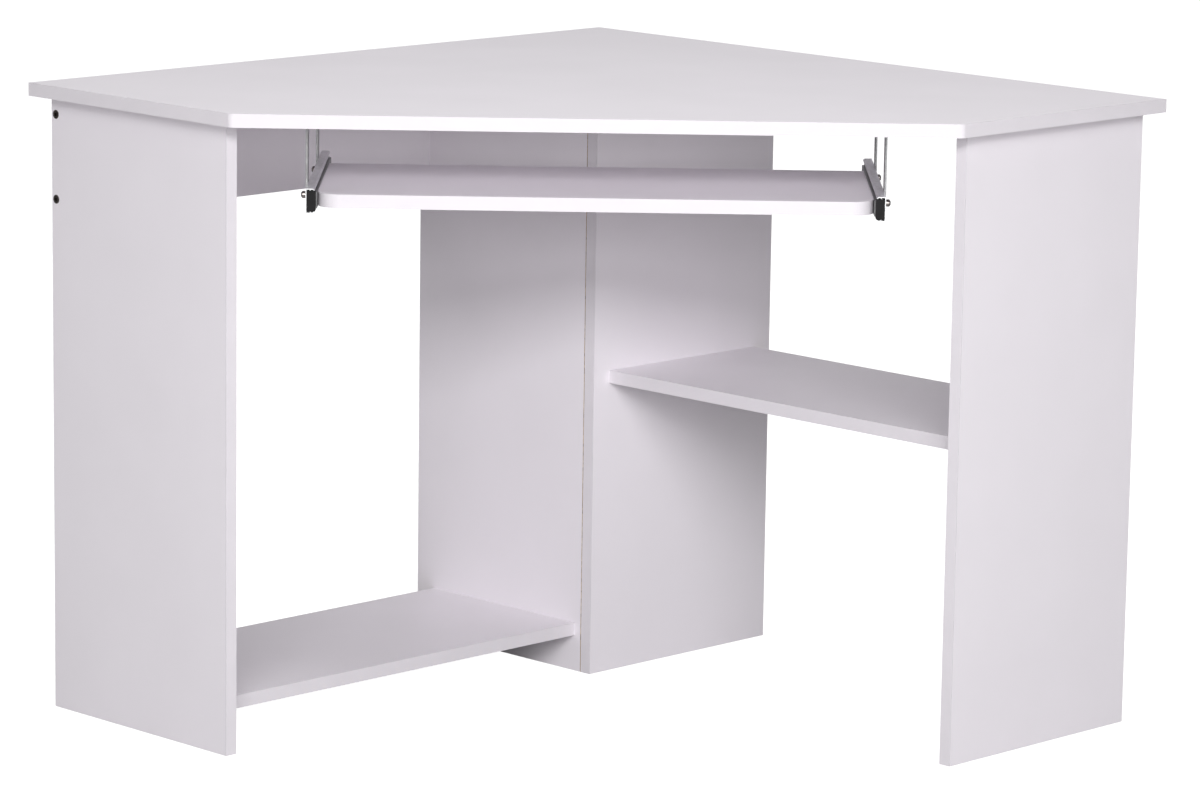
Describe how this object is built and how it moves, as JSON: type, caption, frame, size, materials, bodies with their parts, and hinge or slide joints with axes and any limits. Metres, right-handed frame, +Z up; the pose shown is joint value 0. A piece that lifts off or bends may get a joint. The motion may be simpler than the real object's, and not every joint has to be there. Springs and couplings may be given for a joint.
{
  "type": "corner desk",
  "caption": "Five-sided corner desk with end panels, a V-shaped divider column, a low and a mid-height shelf, a back rail and a keyboard tray that slides out under the diagonal front.",
  "frame": {"origin": "middle of the bounding box's base, on the floor", "axes": "+Z up; the room corner is at -X +Y, the left wing runs along the -X side towards -Y and the right wing along the +Y side towards +X; the user sits on the +X -Y side"},
  "size_m": [0.9, 0.9, 0.72],
  "materials": {
    "white_melamine": "satin melamine-faced chipboard",
    "white_edge_band": "satin melamine edge strip",
    "zinc_steel": "bright zinc-plated sheet",
    "cage_steel": "dull punched sheet",
    "ball_steel": "polished",
    "black_plastic": "matt moulded",
    "screw_steel": "zinc plated",
    "dark_steel": "dark plated",
    "cam_zinc": "die cast",
    "beech": "plain fluted dowel"
  },
  "bodies": {
    "desk": {"worktop": "white_melamine", "worktop_edge_band": "white_edge_band", "left_end_panel": "white_melamine", "left_end_panel_band": "white_edge_band", "right_end_panel": "white_melamine", "right_end_panel_band": "white_edge_band", "left_divider": "white_melamine", "right_divider": "white_melamine", "right_divider_band": "white_edge_band", "left_back_rail": "white_melamine", "left_back_rail_band": "white_edge_band", "left_shelf": "white_melamine", "left_shelf_band": "white_edge_band", "right_shelf": "white_melamine", "right_shelf_band": "white_edge_band", "left_front_hanger": "zinc_steel", "left_rear_hanger": "zinc_steel", "right_front_hanger": "zinc_steel", "right_rear_hanger": "zinc_steel", "left_slide_outer": "zinc_steel", "right_slide_outer": "zinc_steel", "top_cam_bolts": "screw_steel", "top_cam_locks": "cam_zinc", "top_dowels": "beech", "shelf_cam_bolts": "screw_steel", "shelf_cam_locks": "cam_zinc", "shelf_dowels": "beech", "divider_cam_bolts": "screw_steel", "divider_cam_locks": "cam_zinc", "divider_dowels": "beech", "rail_screws": "dark_steel", "hanger_wood_screws": "screw_steel", "slide_screws": "screw_steel"},
    "tray": {"keyboard_tray": "white_melamine", "keyboard_tray_band": "white_edge_band", "left_slide_inner": "zinc_steel", "right_slide_inner": "zinc_steel", "left_slide_cap": "black_plastic", "right_slide_cap": "black_plastic", "tray_screws": "screw_steel"},
    "left_cage": {"left_ball_cage": "cage_steel", "left_balls": "ball_steel"},
    "right_cage": {"right_ball_cage": "cage_steel", "right_balls": "ball_steel"}
  },
  "joints": [
    {"name": "tray_slide", "type": "slide", "parent": "desk", "child": "tray", "axis": [0.7071, -0.7071, 0], "range_m": [0, 0.19]},
    {"name": "left_cage_slide", "type": "slide", "parent": "desk", "child": "left_cage", "axis": [0.7071, -0.7071, 0], "range_m": [0, 0.095]},
    {"name": "right_cage_slide", "type": "slide", "parent": "desk", "child": "right_cage", "axis": [0.7071, -0.7071, 0], "range_m": [0, 0.095]}
  ],
  "couplings": [
    {"joint": "left_cage_slide", "follows": "tray_slide", "ratio": 0.5},
    {"joint": "right_cage_slide", "follows": "tray_slide", "ratio": 0.5}
  ]
}
